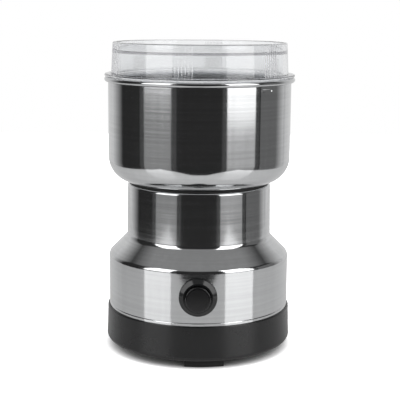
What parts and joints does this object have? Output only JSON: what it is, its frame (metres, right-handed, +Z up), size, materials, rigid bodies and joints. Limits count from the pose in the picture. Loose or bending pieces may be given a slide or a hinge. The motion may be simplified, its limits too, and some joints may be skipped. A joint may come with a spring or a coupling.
{
  "type": "electric coffee grinder",
  "caption": "Electric blade grinder for coffee and spices: steel body on a black base, fixed steel bowl, clear lift-off lid and a round push button.",
  "frame": {"origin": "on the table under the motor axis, at the middle of the feet", "axes": "+Z up along the motor axis, -Y towards the push button, +X to the right seen from the button's side"},
  "size_m": [0.104, 0.112, 0.1685],
  "materials": {
    "clear_plastic": "clear moulded polystyrene",
    "polished_steel": "drawn stainless steel, polished with faint upright brushing",
    "black_plastic": "satin moulded ABS",
    "bezel_plastic": "fine satin ABS",
    "button_plastic": "gloss ABS",
    "black_rubber": "matt black rubber",
    "dark_nylon": "glass-filled nylon",
    "pale_nylon": "natural nylon",
    "zinc_steel": "zinc-plated steel",
    "turned_steel": "turned steel",
    "blade_steel": "ground stainless steel",
    "spring_steel": "bright spring wire",
    "core_steel": "laminated electrical steel",
    "copper_wire": "enamelled copper",
    "brass": "stamped brass",
    "bronze": "sintered bronze",
    "cast_aluminium": "die-cast aluminium",
    "carbon": "pressed carbon"
  },
  "bodies": {
    "housing": {"bowl": "polished_steel", "bowl_gasket": "black_rubber", "body_shell": "polished_steel", "base": "black_plastic", "feet": "black_rubber", "base_screws": "zinc_steel", "cord_gland": "black_rubber", "button_bezel": "bezel_plastic", "bezel_nut": "dark_nylon", "button_spring": "spring_steel", "switch_body": "dark_nylon", "switch_terminals": "brass", "motor_carrier": "dark_nylon", "hub_bush": "turned_steel", "hub_nut": "zinc_steel", "shaft_seal": "black_rubber", "motor_top_bracket": "cast_aluminium", "motor_lower_bracket": "dark_nylon", "motor_bolts": "zinc_steel", "motor_nuts": "zinc_steel", "upper_bearing": "bronze", "lower_bearing": "bronze", "stator_core": "core_steel", "field_coils": "copper_wire", "brush_holders": "brass", "carbon_brushes": "carbon", "brush_springs": "spring_steel"},
    "lid": {"lid": "clear_plastic"},
    "button": {"button_cap": "button_plastic", "switch_plunger": "pale_nylon"},
    "rotor": {"motor_shaft": "turned_steel", "armature_core": "core_steel", "armature_windings": "copper_wire", "commutator": "copper_wire", "cooling_fan": "pale_nylon", "blade_spacer": "dark_nylon", "blade_lower": "blade_steel", "blade_upper": "blade_steel", "blade_washer": "turned_steel", "blade_nut": "turned_steel"}
  },
  "joints": [
    {"name": "lid_lift", "type": "slide", "parent": "housing", "child": "lid", "axis": [0, 0, 1], "range_m": [0, 0.06]},
    {"name": "button_press", "type": "slide", "parent": "housing", "child": "button", "axis": [0, 1, 0], "range_m": [0, 0.003], "stiffness_N_per_m": 900, "springref_m": -0.0015, "deforming": ["button_spring"]},
    {"name": "rotor_spin", "type": "hinge", "parent": "housing", "child": "rotor", "pos_m": [0, 0, 0.1], "axis": [0, 0, 1], "continuous": true}
  ]
}
